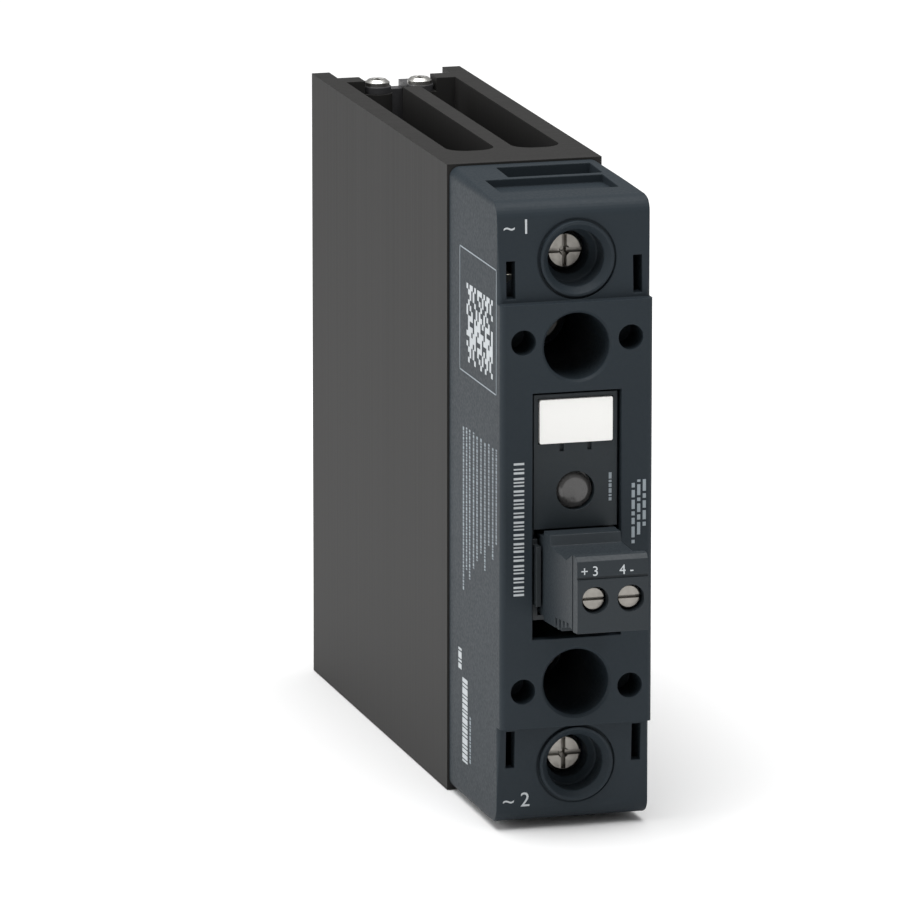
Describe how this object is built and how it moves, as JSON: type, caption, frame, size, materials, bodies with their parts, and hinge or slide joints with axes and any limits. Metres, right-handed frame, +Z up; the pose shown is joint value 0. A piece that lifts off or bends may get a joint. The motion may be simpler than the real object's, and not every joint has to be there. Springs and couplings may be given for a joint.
{
  "type": "solid state relay",
  "caption": "Slim solid state relay on its own finned heatsink, with deep screw clamps at both ends, a pluggable screw connector in front and a sprung rail latch behind.",
  "frame": {"origin": "middle of the footprint at the bottom face, halfway between the plug's front and the back of the rail hooks", "axes": "+Z up along the height, -Y out of the front with the screws, +Y towards the mounting rail, +X to the right seen from the front"},
  "size_m": [0.0226, 0.122, 0.09],
  "materials": {
    "black_anodised": "satin black anodised extrusion",
    "black_steel": "black coated pressed steel",
    "latch_plastic": "moulded glass-filled plastic",
    "spring_steel": "drawn wire",
    "zinc_steel": "zinc plated",
    "nickel_steel": "nickel plated",
    "thermal_pad": "soft filled silicone sheet",
    "nickel_copper": "nickel plated copper",
    "ceramic": "alumina ceramic with bonded copper",
    "silicon": "metallised silicon die",
    "tinned_copper": "tinned copper strip",
    "tinned_pins": "tinned pins",
    "slate_plastic": "fine textured slate grey moulding",
    "insert_plastic": "smooth dark slate moulding",
    "header_plastic": "dark moulding",
    "plug_plastic": "slate grey moulding",
    "white_plastic": "matt white marker tag",
    "lens_plastic": "translucent light guide",
    "led_epoxy": "clear epoxy",
    "board_laminate": "solder mask over glass laminate",
    "chip_package": "black moulding compound",
    "capacitor_case": "yellow boxed film",
    "varistor_coat": "blue epoxy coat",
    "resistor_body": "lacquered film"
  },
  "bodies": {
    "relay": {"heatsink": "black_anodised", "rail_adapter": "black_steel", "latch_spring": "spring_steel", "adapter_screws": "zinc_steel", "thermal_pad": "thermal_pad", "base_plate": "nickel_copper", "ceramic_substrate": "ceramic", "thyristor_chips": "silicon", "line_busbar": "tinned_copper", "load_busbar": "tinned_copper", "fixing_screws": "zinc_steel", "housing": "slate_plastic", "front_insert": "insert_plastic", "marker_tag": "white_plastic", "status_lens": "lens_plastic", "status_led": "led_epoxy", "circuit_board": "board_laminate", "input_header": "header_plastic", "header_pins": "tinned_pins", "optocoupler": "chip_package", "snubber_capacitor": "capacitor_case", "surge_varistor": "varistor_coat", "gate_resistors": "resistor_body", "gate_pins": "tinned_pins"},
    "rail_latch": {"rail_latch": "latch_plastic"},
    "upper_screw": {"upper_clamp_screw": "nickel_steel"},
    "upper_clamp": {"upper_cage": "zinc_steel"},
    "lower_screw": {"lower_clamp_screw": "nickel_steel"},
    "lower_clamp": {"lower_cage": "zinc_steel"},
    "input_plug": {"plug_body": "plug_plastic", "plug_contacts": "tinned_copper"},
    "left_input_screw": {"left_plug_screw": "nickel_steel"},
    "right_input_screw": {"right_plug_screw": "nickel_steel"},
    "left_input_clamp": {"left_plug_cage": "zinc_steel"},
    "right_input_clamp": {"right_plug_cage": "zinc_steel"}
  },
  "joints": [
    {"name": "latch_slide", "type": "slide", "parent": "relay", "child": "rail_latch", "axis": [0, 0, -1], "range_m": [0, 0.004], "stiffness_N_per_m": 800, "springref_m": -0.004, "deforming": ["latch_spring"]},
    {"name": "upper_screw_turn", "type": "hinge", "parent": "relay", "child": "upper_screw", "pos_m": [0.0004, -0.0326, 0.0808], "axis": [0, 1, 0], "range_deg": [0, 2160.5]},
    {"name": "upper_clamp_rise", "type": "slide", "parent": "relay", "child": "upper_clamp", "axis": [0, -1, 0], "range_m": [0, 0.0042]},
    {"name": "lower_screw_turn", "type": "hinge", "parent": "relay", "child": "lower_screw", "pos_m": [0.0004, -0.0326, 0.0092], "axis": [0, 1, 0], "range_deg": [0, 2160.5]},
    {"name": "lower_clamp_rise", "type": "slide", "parent": "relay", "child": "lower_clamp", "axis": [0, -1, 0], "range_m": [0, 0.0042]},
    {"name": "plug_pull", "type": "slide", "parent": "relay", "child": "input_plug", "axis": [0, -1, 0], "range_m": [0, 0.01]},
    {"name": "left_input_turn", "type": "hinge", "parent": "input_plug", "child": "left_input_screw", "pos_m": [-0.00254, -0.0566, 0.0371], "axis": [0, 1, 0], "range_deg": [0, 1800.5]},
    {"name": "left_input_rise", "type": "slide", "parent": "input_plug", "child": "left_input_clamp", "axis": [0, -1, 0], "range_m": [0, 0.0025]},
    {"name": "right_input_turn", "type": "hinge", "parent": "input_plug", "child": "right_input_screw", "pos_m": [0.00254, -0.0566, 0.0371], "axis": [0, 1, 0], "range_deg": [0, 1800.5]},
    {"name": "right_input_rise", "type": "slide", "parent": "input_plug", "child": "right_input_clamp", "axis": [0, -1, 0], "range_m": [0, 0.0025]}
  ],
  "couplings": [
    {"joint": "upper_screw_turn", "follows": "upper_clamp_rise", "rad_per_m": 8976},
    {"joint": "lower_screw_turn", "follows": "lower_clamp_rise", "rad_per_m": 8976},
    {"joint": "left_input_turn", "follows": "left_input_rise", "rad_per_m": 12566},
    {"joint": "right_input_turn", "follows": "right_input_rise", "rad_per_m": 12566}
  ]
}
